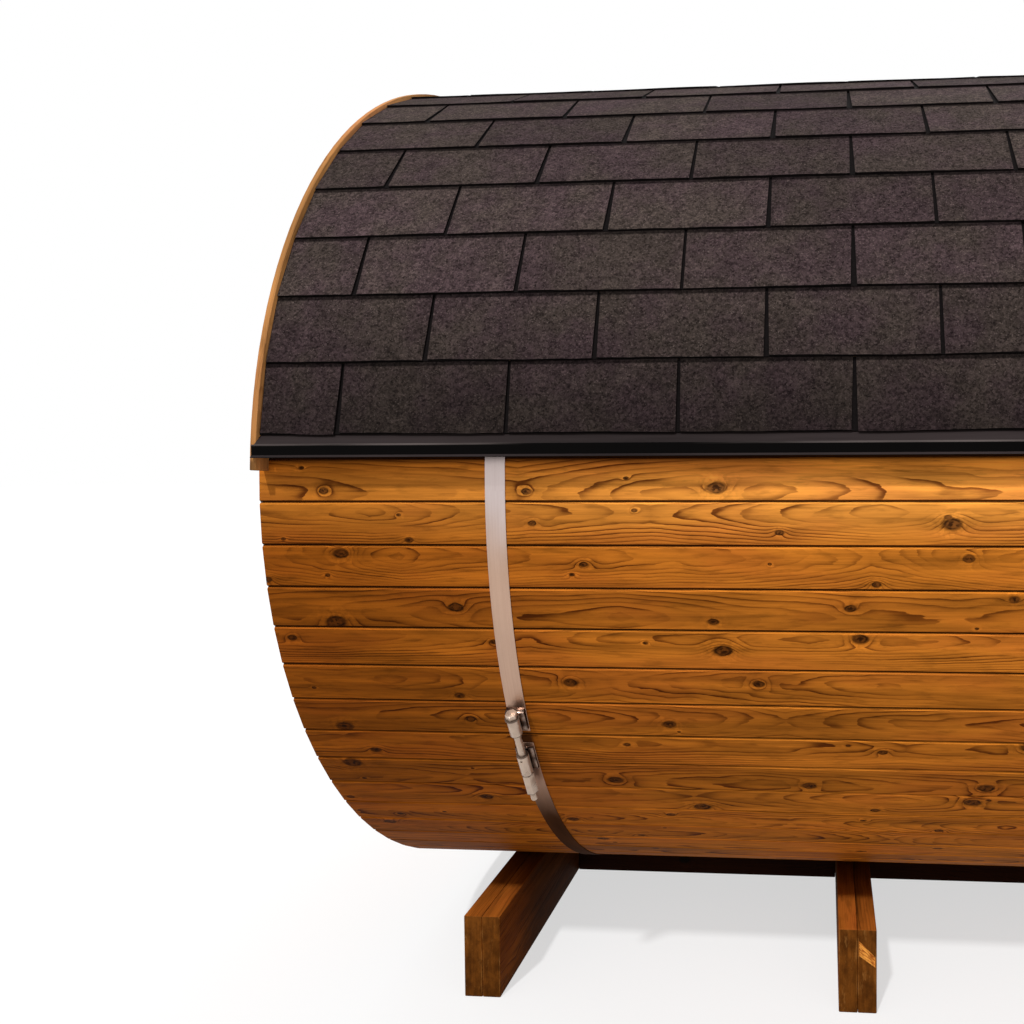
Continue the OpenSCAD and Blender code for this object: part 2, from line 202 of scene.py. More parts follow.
class Look(Graph):
    """A procedural material that is put together step by step."""

    def __init__(self, name, specular, metallic=0.0):
        self.material = bpy.data.materials.new(name)
        super().__init__(self.material)
        self.shader = self.node("BsdfPrincipled", {"Specular IOR Level": specular, "Metallic": metallic})
        self.node("OutputMaterial", {"Surface": Field(self, self.shader.outputs[0])})

    def root(self, value):
        return self.math("SQRT", value)

    def split(self, vector):
        made = self.node("SeparateXYZ", {"Vector": vector})
        return [Field(self, socket) for socket in made.outputs]

    def join(self, x, y, z):
        return self.out("CombineXYZ", "Vector", {"X": x, "Y": y, "Z": z})

    def point(self):
        return self.out("TexCoord", "Object", {})

    def facing(self):
        return self.split(self.out("NewGeometry", "Normal", {}))

    def attribute(self, name):
        return self.out("Attribute", "Fac", {}, attribute_name=name)

    def noise(self, vector, scale, detail=2.0, rough=0.5):
        inputs = {"Vector": vector, "Scale": scale, "Detail": detail, "Roughness": rough}
        return self.out("TexNoise", "Fac", inputs)

    def grain(self, x, y, z, detail=2.0, rough=0.5):
        """Noise over places that are stretched by a share of their own along each axis."""
        return self.noise(self.join(x, y, z), 1.0, detail, rough)

    def cells(self, vector, scale):
        """A random number for each small cell of the surface."""
        return self.split(self.out("TexVoronoi", "Color", {"Vector": vector, "Scale": scale}))[0]

    def dice(self, number):
        """Three random numbers from 0 to 1 for each number."""
        return self.split(self.out("TexWhiteNoise", "Color", {"W": number}, noise_dimensions="1D"))

    def mix(self, share, first, second, blend="MIX"):
        inputs = {0: share, 6: first, 7: second}
        return self.out("Mix", 2, inputs, data_type="RGBA", blend_type=blend)

    def tinted(self, share, colour, tint):
        return self.mix(share, colour, tint, "MULTIPLY")

    def scaled(self, colour, share):
        vector = colour if isinstance(colour, Field) else colour[:3]
        return self.out("VectorMath", "Vector", {0: vector, "Scale": share}, operation="SCALE")

    def surface(self, colour, roughness, height=None, relief=0.001):
        self.feed(self.shader.inputs["Base Color"], colour)
        self.feed(self.shader.inputs["Roughness"], roughness)
        if height is not None:
            bump = self.out("Bump", "Normal", {"Height": height, "Distance": relief, "Strength": 1.0})
            self.feed(self.shader.inputs["Normal"], bump)
        return self.material


class Timber(NamedTuple):
    """How a kind of board looks. Its end_tone is how bright its sawn ends are beside its faces."""

    early: tuple
    late: tuple
    knot: tuple
    rim: tuple
    ring_w: float
    contrast: float
    tone_low: float
    tone_high: float
    end_tone: float
    knot_gap: float


STAINED_PINE = Timber(
    early=paint(200, 120, 39), late=paint(102, 50, 12), knot=paint(98, 54, 18), rim=paint(42, 20, 6),
    ring_w=0.0050, contrast=1.0, tone_low=0.84, tone_high=1.14, end_tone=0.95, knot_gap=0.40,
)
DARK_PINE = Timber(
    early=paint(122, 66, 20), late=paint(70, 34, 10), knot=paint(40, 24, 12), rim=paint(20, 11, 6),
    ring_w=0.0045, contrast=0.7, tone_low=0.80, tone_high=1.10, end_tone=1.0, knot_gap=0.7,
)
# The tie boards: dark stained wood, painted darker still as the shade under the barrel
TIE_PINE = Timber(
    early=paint(42, 19, 8), late=paint(24, 10, 4), knot=paint(18, 9, 5), rim=paint(10, 5, 3),
    ring_w=0.0045, contrast=0.7, tone_low=0.85, tone_high=1.10, end_tone=0.9, knot_gap=0.7,
)
SAWN_SPRUCE = Timber(
    early=paint(190, 142, 88), late=paint(146, 94, 48), knot=paint(90, 56, 28), rim=paint(50, 30, 14),
    ring_w=0.0042, contrast=0.6, tone_low=0.85, tone_high=1.1, end_tone=0.8, knot_gap=0.6,
)
PLANED_SPRUCE = Timber(
    early=paint(198, 140, 82), late=paint(156, 100, 52), knot=paint(104, 62, 30), rim=paint(58, 35, 17),
    ring_w=0.0040, contrast=0.6, tone_low=0.9, tone_high=1.05, end_tone=0.85, knot_gap=2.0,
)

# Kinds of knots: smallest and largest radius, and how often there is one
BIG_KNOT = (0.0055, 0.0135, 0.85)
SMALL_KNOT = (0.0025, 0.0055, 0.6)
NO_KNOT_R = 0.0001


class Knots(NamedTuple):
    """The knots of one board: distance from the nearest one in knot radii, how far it pushes the rings
    aside, and the dark trail it leaves along the grain."""

    reach: Field
    push: Field
    trail: Field


def knots(look, along, across, number, gap, size, board_w):
    """Knots that sit by chance along a board, about a gap apart."""
    spot = along / gap + number * 13.7
    cell = look.node("TexVoronoi", {"W": spot, "Scale": 1.0, "Randomness": 0.75}, voronoi_dimensions="1D")
    sideways, bulk, luck = look.split(Field(look, cell.outputs["Color"]))
    away = (spot - Field(look, cell.outputs["W"])) * gap
    aside = across - (sideways - 0.5) * (0.86 * board_w)
    least, most, chance = size
    radius = bulk * bulk * (most - least) + least
    radius = radius * look.math("LESS_THAN", luck, chance) + NO_KNOT_R
    away, aside = away * away, aside * aside
    reach = look.root(away * 0.50 + aside * 1.3) / radius
    push = look.math("EXPONENT", (away * 0.12 + aside * 0.32) / (radius * radius) * -1.0) * radius
    trail = look.math("EXPONENT", (away * 0.035 + aside * 0.80) / (radius * radius) * -1.0)
    return Knots(reach, push, trail)


def pine(look, along, across, depth, number, timber, board_w):
    """Colour and relief of a board that is cut from a log, from its own length, width and depth.

    Most noise in it is stretched: few changes along the board, many across it and into it."""
    heart_luck, depth_luck, tone_luck = look.dice(number)
    hue_luck, phase_luck, width_luck = look.dice(number + 300.5)
    seed = number * 7.13
    big = knots(look, along, across, number, timber.knot_gap, BIG_KNOT, board_w)
    small = knots(look, along, across, number + 151.0, timber.knot_gap * 1.3, SMALL_KNOT, board_w)
    # The heart of the log lies behind the face, to and fro along the board, so the rings are pointed arches
    sway = look.grain(along * 1.3 + seed, seed, 0.0, 1.0) - 0.5
    wave = look.grain(along * 7.0, across * 20.0, depth * 20.0 + seed, 1.0) - 0.5
    jag = look.grain(along * 24.0, across * 110.0, depth * 110.0 + seed, 2.0) - 0.5
    side = across - (heart_luck - 0.5) * (0.75 * board_w)
    taper = look.math("PINGPONG", along + sway * 0.8 + seed, 0.62) * (phase_luck * 0.05 + 0.03)
    deep = depth + depth_luck * 0.05 + 0.020 + taper + wave * 0.010 + jag * 0.0022
    ring = look.root(side * side + deep * deep) + (big.push + small.push) * 1.3
    # A ring darkens slowly to its late wood, and some rings are stronger than others
    count = ring / (timber.ring_w * (width_luck * 0.8 + 0.65)) + phase_luck
    in_ring = look.math("FRACT", count)
    strength = look.dice(look.math("FLOOR", count) + number * 51.7)[0]
    late = in_ring.step(0.25, 0.92) * 0.42 + in_ring.step(0.62, 0.93) * 0.58
    late = late * in_ring.fall(0.96, 1.0)
    # Long fibres, and patches where the stain took more or less
    fibre = look.grain(along * 7.0, across * 300.0, depth * 300.0 + seed, 3.0, 0.65)
    streak = look.grain(along * 2.2 + seed, across * 34.0, depth * 30.0, 3.0, 0.6)
    stain = look.grain(along * 2.5 + seed, across * 9.0, depth * 7.0, 3.0)
    shown = look.grain(along * 2.6 + seed * 3.0, across * 24.0, depth * 20.0, 2.0)
    dash = look.grain(along * 15.0 + seed, across * 85.0, depth * 70.0, 3.0, 0.6)
    late = late * (strength * 0.65 + 0.35) * (shown.step(0.38, 0.60) * 1.05 + 0.20) * timber.contrast
    tone = tone_luck * (timber.tone_high - timber.tone_low) + timber.tone_low
    tone = tone * (fibre * 0.70 + streak * 1.65 + stain * 1.05 - 0.70)
    tone = tone * (1.02 - dash.step(0.50, 0.70) * 0.26)
    colour = look.scaled(look.mix(late, timber.early, timber.late), tone)
    colour = look.tinted(hue_luck * 0.3, colour, (0.98, 0.90, 0.80, 1))
    soaked = stain.step(0.45, 0.62)
    colour = look.tinted(soaked, colour, (0.80, 0.74, 0.84, 1))
    # A knot: pale swirl round it, dark rim, olive brown wood with a dark heart
    ragged = look.grain(along * 55.0, across * 75.0, depth * 75.0 + seed, 2.0)
    patchy = look.grain(along * 110.0 + seed, across * 110.0, depth * 90.0, 2.0)
    reach = look.math("MINIMUM", big.reach, small.reach) * (ragged * 1.2 + 0.4)
    halo = reach.step(1.0, 1.35) * reach.fall(1.4, 3.2)
    halo = halo * patchy.step(0.30, 0.60)
    rim = reach.step(0.60, 0.90) * reach.fall(1.0, 1.35)
    core = reach.fall(0.8, 1.05)
    heart = reach.fall(0.25, 0.95) * patchy.step(0.44, 0.56)
    colour = look.scaled(colour, (halo * 0.30 + 1.0) * (1.0 - big.trail * streak * 0.8))
    colour = look.mix(core * 0.9, colour, look.scaled(timber.knot, 1.75 - patchy * 1.5))
    dark = look.math("MAXIMUM", rim * (ragged.step(0.38, 0.62) * 0.75 + 0.2), heart * 0.9)
    colour = look.mix(dark, colour, timber.rim)
    relief = fibre * 0.25 - late * 0.5 - core * 0.4
    return colour, relief


def end_grain(look, colour, along_facing, timber):
    """Darkens the faces that cut across the grain, where the stain soaks in."""
    cut = abs(along_facing).step(0.6, 0.8)
    return look.mix(cut, colour, look.scaled(colour, timber.end_tone))


def about_axis(look):
    """Place on the barrel: along it, distance from its axis and angle round it."""
    x, y, z = look.split(look.point())
    up = z - AXIS_Z
    return x, look.root(y * y + up * up), look.math("ARCTAN2", up, y)


# Heights between which the staves change: painted highlight under the eave, painted bounce light low down,
# painted shadow under the drip edge
FAINT_HIGHLIGHT_Z = (0.95, 1.25)
STRONG_HIGHLIGHT_Z = (1.17, 1.31)
BOUNCE_BEGIN_Z = (0.34, 0.44)
BOUNCE_END_Z = (0.46, 0.62)
PALE_LIGHT_BEGIN_Z = (1.12, 1.24)
PALE_LIGHT_END_Z = (1.265, 1.30)
DRIP_SHADOW_Z = (1.297, 1.312)

# Distances from the middle of the barrel between which the staves darken
DARKER_ENDS_X = (0.45, 1.62)

# Depths below a stave's face between which the painted highlight on upward bevels ends, and dirt in the
# joints and painted shade on downward bevels begin
LIT_BEVEL_DEPTH = (0.0015, 0.0030)
JOINT_DEPTH = (0.0022, 0.0040)
SHADED_BEVEL_DEPTH = (0.0002, 0.0010)


def stave_wood():
    """Staves round the barrel: each has a number of its own, and painted light and shade change them with
    the height.
    """
    look = Look("stave_wood", specular=0.02)
    along, reach, angle = about_axis(look)
    steps = (angle + math.pi / 2) / STAVE_TURN
    nearest = look.math("ROUND", steps)
    turn = (steps - nearest) * STAVE_TURN
    number = look.math("FLOORED_MODULO", nearest, float(STAVE_COUNT))
    across = reach * look.math("SINE", turn)
    depth = BARREL_R - reach * look.math("COSINE", turn)
    colour, relief = pine(look, along, across, depth, number, STAINED_PINE, STAVE_W)
    facing = look.facing()
    colour = end_grain(look, colour, facing[X], STAINED_PINE)
    # The staves under the eave get a painted highlight and a paler tint, those low down get painted light
    # bounced from the ground, and the ends are darker
    height = look.split(look.point())[Z]
    off_middle = abs(along)
    top_highlight = height.step(*FAINT_HIGHLIGHT_Z) * 0.26 + height.step(*STRONG_HIGHLIGHT_Z) * 0.60
    ground_bounce = height.step(*BOUNCE_BEGIN_Z) - height.step(*BOUNCE_END_Z)
    colour = look.scaled(colour, top_highlight + ground_bounce * 0.15 + 0.80)
    paler_top_light = height.step(*PALE_LIGHT_BEGIN_Z) * (1.0 - height.step(*PALE_LIGHT_END_Z) * 0.6)
    colour = look.tinted(paler_top_light, colour, (1.22, 1.46, 2.2, 1))
    ends = off_middle.step(*DARKER_ENDS_X)
    colour = look.tinted(1.0, colour, look.mix(ends, (1.06, 1.06, 1.04, 1), (0.56, 0.48, 0.34, 1)))
    # Painted shadow under the drip edge
    drip_shadow = height.step(*DRIP_SHADOW_Z) * 0.8
    colour = look.mix(drip_shadow, colour, paint(44, 19, 7))
    # Dirt lies in the joints, the bevel that faces down gets painted shade, and the bevel that faces up a
    # painted highlight
    lean = facing[Z] - look.math("SINE", nearest * STAVE_TURN - math.pi / 2)
    wear_and_highlight = lean.step(0.2, 0.5) * depth.fall(*LIT_BEVEL_DEPTH)
    colour = look.scaled(colour, wear_and_highlight * 0.35 + 1.0)
    shaded_bevel = lean.fall(-0.5, -0.2) * depth.step(*SHADED_BEVEL_DEPTH)
    groove_dirt_and_shade = look.math("MAXIMUM", depth.step(*JOINT_DEPTH), shaded_bevel)
    colour = look.mix(groove_dirt_and_shade * 0.9, colour, paint(36, 15, 4))
    # Painted shade between the ends of the hoops, behind the bolts
    off_hoop = abs(off_middle - HOOP_X)
    off_bolt = abs(angle + (math.pi - TENSIONER_ANGLE))
    bolt_shade = off_hoop.fall(0.015, 0.026) * off_bolt.fall(0.03, 0.06)
    colour = look.mix(bolt_shade * 0.85, colour, paint(40, 23, 17))
    return look.surface(colour, 0.60, relief, 0.0005)


def wall_wood(name, first_y, board_w, seed):
    """Upright boards of an end wall or of the door."""
    look = Look(name, specular=0.03)
    x, y, z = look.split(look.point())
    steps = (y - first_y) / board_w
    number = look.math("FLOOR", steps)
    across = (steps - number - 0.5) * board_w
    depth = WALL_OUT_X - abs(x)
    end = look.math("SIGN", x) * 40.0
    colour, relief = pine(look, z, across, depth, number + end + seed, STAINED_PINE, board_w)
    groove_dirt_and_shade = depth.step(0.0008, 0.0032) * depth.fall(0.006, 0.012) * 0.8
    colour = look.mix(groove_dirt_and_shade, colour, paint(38, 18, 5))
    return look.surface(colour, 0.52, relief, 0.0006)


def plank_wood(name, timber, axes, board_w, board_t, seed, roughness):
    """Plain planks: axes are those of their length, width and thickness."""
    look = Look(name, specular=0.03)
    place = look.split(look.point())
    facing = look.facing()
    along, across, depth = (place[axis] for axis in axes)
    rows = look.math("FLOOR", across / board_w + 0.5)
    layers = look.math("FLOOR", depth / board_t)
    number = look.math("FLOORED_MODULO", rows * 5.0 + layers * 3.0 + seed, 61.0)
    colour, relief = pine(
        look, along, across - rows * board_w, depth - layers * board_t, number, timber, board_w
    )
    colour = end_grain(look, colour, facing[axes[0]], timber)
    return look.surface(colour, roughness, relief, 0.0008)


def edge_wood():
    """Bent strips: the grain follows the bend."""
    look = Look("edge_wood", specular=0.03)
    along, reach, angle = about_axis(look)
    number = look.math("SIGN", along) * 9.0
    colour, relief = pine(
        look, angle * BARREL_R, reach - STRIP_MID_R, along, number, PLANED_SPRUCE, STRIP_W
    )
    # The faces beside the shingles are a little darker, and under the drip edge they get a painted shadow
    beside = abs(look.facing()[X]).fall(0.5, 0.9)
    under = look.split(look.point())[Z].fall(DRIP_LOW_Z - 0.012, DRIP_LOW_Z)
    colour = look.scaled(colour, 1.0 - beside * (under * 0.5 + 0.1))
    return look.surface(colour, 0.6, relief, 0.0005)


def foot_wood():
    """Two dark boards on edge: the grain runs across the barrel, and their sawn ends are mottled."""
    look = Look("foot_wood", specular=0.02)
    x, y, z = look.split(look.point())
    foot = look.math("FLOOR", x / FOOT_PITCH)
    off_seam = x - (foot + 0.5) * FOOT_PITCH
    board = look.math("FLOOR", off_seam / FOOT_BOARD_T)
    depth = off_seam - board * FOOT_BOARD_T
    number = foot * 20.0 + board + 60.0
    colour, relief = pine(look, y, z - FOOT_H / 2, depth, number, DARK_PINE, FOOT_H)
    facing = look.facing()
    blotch = look.grain(x * 30.0, y * 6.0, z * 24.0, 4.0, 0.6)
    sawn = look.grain(x * 160.0, y * 20.0, z * 60.0, 3.0, 0.6)
    drawn = look.grain(x * 120.0, y * 20.0, z * 9.0, 3.0, 0.6)
    mottled = look.mix(blotch.step(0.30, 0.70), paint(78, 42, 11), paint(112, 64, 20))
    mottled = look.scaled(mottled, sawn * 0.6 + drawn * 1.2 + 0.02)
    cut = abs(facing[Y]).step(0.6, 0.8)
    # Painted highlight on the top faces
    top_highlight = facing[Z].step(0.4, 0.8) * 0.58 + 0.5
    colour = look.mix(cut, look.scaled(colour, blotch * 0.9 + top_highlight), mottled)
    # Painted shade under the barrel, and scuffed pale on the sawn ends and along their edges
    under = abs(y).fall(0.48, 0.73)
    colour = look.scaled(colour, 1.0 - under * 0.64)
    rim = look.math("MINIMUM", depth, FOOT_BOARD_T - depth)
    scuff = look.grain(x * 70.0, y * 10.0, z * 18.0, 4.0, 0.7)
    edge = rim.fall(0.0008, 0.0040) * scuff.step(0.42, 0.60)
    wear_and_highlight = look.math("MAXIMUM", scuff.step(0.56, 0.72) * 0.55, edge * 0.7) * cut
    colour = look.mix(wear_and_highlight, colour, paint(158, 106, 52))
    return look.surface(colour, 0.62, relief + sawn * cut * 0.6, 0.0010)


def torn_wood():
    """Fresh wood where a splinter broke off."""
    look = Look("torn_wood", specular=0.08)
    x, y, z = look.split(look.point())
    fibre = look.grain(x * 60.0, y * 40.0, (z + x * 0.8) * 420.0, 3.0, 0.6)
    colour = look.mix(fibre.step(0.34, 0.62), paint(150, 76, 22), paint(240, 164, 72))
    return look.surface(colour, 0.7, fibre, 0.001)


def shingle_granules():
    """Mineral granules in mixed greys and browns: each tab has its own tone, with painted shade towards the
    eave.
    """
    look = Look("shingle_granules", specular=0.03)
    point = look.point()
    height = look.split(point)[Z]
    tab = look.attribute("tab_tone")
    cloud = look.noise(point, 7.0, 4.0, 0.6)
    patch = look.noise(point, 70.0, 3.0, 0.6)
    speck = look.cells(point, 560.0)
    grit = look.cells(point, 230.0)
    colour = look.mix(cloud.step(0.36, 0.64), paint(66, 53, 55), paint(65, 56, 52))
    smudge = look.noise(point, 24.0, 3.0, 0.6)
    colour = look.scaled(colour, patch + smudge * 0.9 + 0.05)
    colour = look.scaled(colour, tab * 0.34 + 0.83)
    colour = look.scaled(colour, speck * 0.7 + grit * 0.9 + 0.22)
    colour = look.mix(speck.step(0.95, 0.99) * 0.4, colour, paint(124, 110, 105))
    # Painted shade: each course is dark just under the butts of the next one
    angle = about_axis(look)[2]
    turn = look.math("ARCCOSINE", abs(look.math("COSINE", angle)))
    in_course = look.math("FRACT", (turn - EAVE_ANGLE) / COURSE_ANGLE)
    under = in_course.step(0.930, 0.955)
    colour = look.scaled(colour, 1.0 - under * 0.72)
    # Painted shade on the courses near the eave
    eave_shade = (height + cloud * 0.10).fall(EAVE_Z, EAVE_Z + 0.36)
    colour = look.scaled(colour, 1.0 - eave_shade * 0.6)
    return look.surface(colour, 0.9, speck + grit * 0.6, 0.0012)


def shingle_felt_and_slot_shade():
    """Cut edges of the shingles, and dark felt at the bottom of the slots that is painted near black as the
    shade there.
    """
    look = Look("shingle_felt_and_slot_shade", specular=0.06)
    fray = look.noise(look.point(), 240.0, 3.0)
    colour = look.mix(fray, paint(10, 8, 8), paint(26, 22, 22))
    return look.surface(colour, 0.95, fray, 0.001)


def drip_metal():
    """Black painted sheet, with dust and painted light where it faces upwards, and a light line along the
    fold that is partly wear and partly a painted highlight.
    """
    look = Look("drip_metal", specular=0.02)
    x, y, z = look.split(look.point())
    facing = look.facing()
    streak = look.grain(x * 3.0, y * 60.0, z * 60.0, 4.0, 0.6)
    patch = look.grain(x * 1.4, y * 3.0, z * 3.0, 2.0)
    # Dust and painted light on the faces that look upwards
    dust_and_top_light = facing[Z].step(0.10, 0.6) * (streak * 0.7 + patch * 0.9 - 0.15)
    colour = look.mix(dust_and_top_light, paint(7, 6, 6), paint(58, 50, 50))
    # A light line along the fold: partly wear, partly a painted highlight
    fold_wear_and_highlight = abs(z - DRIP_FOLD_Z).fall(0.0008, 0.0024)
    colour = look.mix(fold_wear_and_highlight * (patch + streak * 0.4).step(0.55, 0.85), colour, paint(96, 88, 86))
    return look.surface(colour, streak * 0.2 + 0.36, streak, 0.0003)


def hoop_steel():
    """Steel brushed along the hoop, with painted reflections of the dark ground lower down: a brown tint,
    brown glints and dark brown at the bottom.
    """
    look = Look("hoop_steel", specular=0.02)
    x, reach, angle = about_axis(look)
    z = look.split(look.point())[Z]
    brush = look.grain(x * 900.0, reach * 900.0, angle * 4.0, 3.0, 0.6)
    cloud = look.grain(x * 20.0, reach * 20.0, angle * 6.0, 3.0)
    colour = look.mix(brush, paint(184, 166, 162), paint(212, 198, 194))
    colour = look.scaled(colour, cloud * 0.3 + 0.82)
    # Painted reflections of the dark ground lower down: a brown tint, lighter brown glints, and dark brown
    # with less metal lowest
    brown_reflection = (z + cloud * 0.1).fall(1.13, 1.30)
    colour = look.tinted(brown_reflection, colour, (0.88, 0.70, 0.54, 1))
    brown_glint = z.fall(0.55, 0.95) * (cloud * 0.9 - 0.1)
    colour = look.mix(brown_glint, colour, paint(150, 100, 70))
    dark_ground_reflection = (z + cloud * 0.08).fall(0.50, 0.70)
    colour = look.mix(dark_ground_reflection, colour, look.scaled(paint(62, 35, 17), cloud * 1.4 + 0.3))
    look.feed(look.shader.inputs["Metallic"], 1.0 - dark_ground_reflection)
    return look.surface(colour, brush * 0.14 + dark_ground_reflection * 0.4 + 0.30, brush, 0.0001)


def bolt_steel():
    """Turned steel of the tensioner, with painted shade in its joints and on its side towards the hoop."""
    look = Look("bolt_steel", specular=0.3, metallic=0.5)
    point = look.point()
    y, z = look.split(point)[Y:]
    reach = about_axis(look)[1]
    up, out = math.sin(TENSIONER_ANGLE), math.cos(TENSIONER_ANGLE)
    along = (z - AXIS_Z + up * BOLT_AXIS_R) * out - (y + out * BOLT_AXIS_R) * up
    cloud = look.noise(point, 45.0, 3.0)
    colour = look.mix(cloud, paint(170, 148, 130), paint(214, 194, 176))
    # Painted shade on the side towards the hoop and in the joints between the parts
    bolt_shade = reach.fall(BOLT_AXIS_R - 0.012, BOLT_AXIS_R - 0.001)
    for joint in BOLT_JOINTS:
        line = abs(along - joint).fall(0.0006, 0.0022)
        bolt_shade = look.math("MAXIMUM", bolt_shade, line)
    colour = look.mix(bolt_shade * 0.85, colour, paint(58, 40, 30))
    return look.surface(colour, cloud * 0.2 + bolt_shade * 0.2 + 0.20)


def lug_steel():
    """Bent plates of steel, painted dark as a reflection of dark surroundings."""
    look = Look("lug_steel", specular=0.5, metallic=1.0)
    point = look.point()
    cloud = look.noise(point, 60.0, 4.0, 0.6)
    fine = look.noise(point, 900.0, 2.0)
    colour = look.mix(cloud.step(0.35, 0.65), paint(62, 48, 40), paint(134, 114, 102))
    return look.surface(colour, cloud * 0.18 + 0.12, fine, 0.00006)


def hinge_metal():
    """Black powder coat."""
    look = Look("hinge_metal", specular=0.3)
    fine = look.noise(look.point(), 700.0, 3.0)
    colour = look.mix(fine, paint(22, 21, 21), paint(40, 38, 38))
    return look.surface(colour, fine * 0.15 + 0.45, fine, 0.0002)


WALL_WOOD = wall_wood("end_wall_wood", -WALL_R, END_BOARD_W, 120.0)
TORN_WOOD = torn_wood()
GRANULES = shingle_granules()
FELT_AND_SLOT_SHADE = shingle_felt_and_slot_shade()
BOLT_STEEL = bolt_steel()

# The look of each node, by the end of its name. The longest one that fits counts
NODE_LOOK = {
    "staves": stave_wood(),
    "roof_boards": plank_wood("roof_board_wood", SAWN_SPRUCE, (X, Z, Y), 0.14, 0.14, 5.0, 0.75),
    "shingles": GRANULES,
    "ridge_cap": GRANULES,
    "roof_edge": edge_wood(),
    "drip_edge": drip_metal(),
    "hoop": hoop_steel(),
    "hoop_lugs": lug_steel(),
    "hoop_sleeves": BOLT_STEEL,
    "hoop_bolt": BOLT_STEEL,
    "foot": foot_wood(),
    "tie_boards": plank_wood("tie_wood", TIE_PINE, (X, Z, Y), 0.3, 0.2, 40.0, 0.65),
    "end_wall": WALL_WOOD,
    "boards": WALL_WOOD,
    "door_frame": plank_wood("door_frame_wood", STAINED_PINE, (Z, Y, X), 0.33, 0.2, 12.0, 0.52),
    "door_leaf": wall_wood("door_leaf_wood", -LEAF_W / 2, LEAF_BOARD_W, 320.0),
    "door_ledges": plank_wood("door_ledge_wood", STAINED_PINE, (Y, Z, X), 0.5, 0.2, 33.0, 0.52),
    "door_hinges": hinge_metal(),
    "door_grip": plank_wood("grip_wood", PLANED_SPRUCE, (Z, Y, X), 0.3, 0.3, 8.0, 0.45),
}
for name, node in nodes.items():
    ending = max((end for end in NODE_LOOK if name.endswith(end)), key=len)
    node.data.materials.clear()
    node.data.materials.append(NODE_LOOK[ending])


SMOOTH_ANGLE = math.radians(32)


def placed(name, data):
    """Adds an object to the scene."""
    made = bpy.data.objects.new(name, data)
    bpy.context.scene.collection.objects.link(made)
    return made


def piece(name, bm, slot, node, *more_looks):
    """Makes a finished mesh of a bmesh, as a piece that stands for a node and has its look."""
    bmesh.ops.recalc_face_normals(bm, faces=bm.faces)
    mesh = bpy.data.meshes.new(name)
    bm.to_mesh(mesh)
    bm.free()
    for look in (nodes[node].data.materials[0], *more_looks):
        mesh.materials.append(look)
    mesh.shade_smooth()
    mesh.set_sharp_from_angle(angle=SMOOTH_ANGLE)
    made = placed(name, mesh)
    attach(made, "root")
    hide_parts(node)


def only(kind, items):
    """The items of one kind."""
    return [item for item in items if isinstance(item, kind)]


def extrude(bm, shift):
    """Draws all faces of a bmesh out into a block."""
    drawn = bmesh.ops.extrude_face_region(bm, geom=bm.faces[:])["geom"]
    bmesh.ops.translate(bm, vec=shift, verts=only(bmesh.types.BMVert, drawn))


def added(bm, count):
    """What was added to a bmesh since it had that many vertices."""
    verts = list(bm.verts)[count:]
    faces = list({face for vert in verts for face in vert.link_faces})
    return verts, faces


def join(bm, part, place=Matrix()):
    """Adds a thing that was drawn on its own, in its place."""
    bmesh.ops.transform(part, matrix=place, verts=part.verts)
    drawn = bpy.data.meshes.new("drawn")
    part.to_mesh(drawn)
    part.free()
    bm.from_mesh(drawn)
    bpy.data.meshes.remove(drawn)


def prism(outline, length):
    """A bar along the barrel with that outline in y and z."""
    bm = bmesh.new()
    bm.faces.new([bm.verts.new((-length / 2, y, z)) for y, z in outline])
    extrude(bm, (length, 0, 0))
    return bm


# Shingles as they are laid: where their slots are, and how uneven they lie
TAB_PITCH = 0.3315
FIRST_SLOT_X = -1.470
SLOT_COUNT = 12
SLOT_W = 0.006
SLOT_STRAY = 0.002
LEAST_TAB_W = 0.02
BED_INSET = 0.0012
BED_HEAD_T = 0.0003
TAB_GAP = 0.0004
TAB_INSET = 0.0019
TAB_WAVES = 5.0
TAB_PHASE = 6.28
TAB_SAG = (0.0003, 0.0016)
TAB_LIFT = 0.0006
TAB_TILT = 0.0028
TAB_LEAN = 0.004
TAB_FRAY = 0.0007
TAB_DROP = 0.0009
TAB_RIPPLE = 0.0006


def course_half(radius):
    """Half the width of a course at a distance from the axis."""
    return radius * math.tan(COURSE_ANGLE / 2) - SEAT_GAP


def course_frame(course):
    """Turns what lies flat, x along the eave, y up the slope and z outwards, onto a near course."""
    turn = EAVE_ANGLE + (course + 0.5) * COURSE_ANGLE
    return Matrix.Translation((0, 0, AXIS_Z)) @ Matrix.Rotation(math.pi / 2 - turn, 4, "X")


def course_bed(bm, course):
    """What lies under the tabs of a course and shows in its slots: thicker at the butt."""
    butt_r = COURSE_IN_R + SHINGLE_T
    head_r = COURSE_IN_R + BED_HEAD_T
    tongue = BED_INSET if course < COURSE_COUNT - 1 else 0.0
    outline = [
        (course_half(head_r) + tongue, head_r),
        (-course_half(butt_r) + BED_INSET, butt_r),
    ]
    if course == 0:
        room = FLANGE_W - course_half(COURSE_IN_R) + SEAT_GAP
        outline += [
            (-course_half(FLANGE_ROOM_R) + BED_INSET, FLANGE_ROOM_R),
            (room, FLANGE_ROOM_R),
            (room, COURSE_IN_R),
        ]
    else:
        outline += [(-course_half(COURSE_IN_R) + BED_INSET, COURSE_IN_R)]
    outline += [(course_half(COURSE_IN_R) + tongue, COURSE_IN_R)]
    bed = prism(outline, ROOF_L)
    for face in bed.faces:
        face.material_index = 1
    join(bm, bed, course_frame(course))


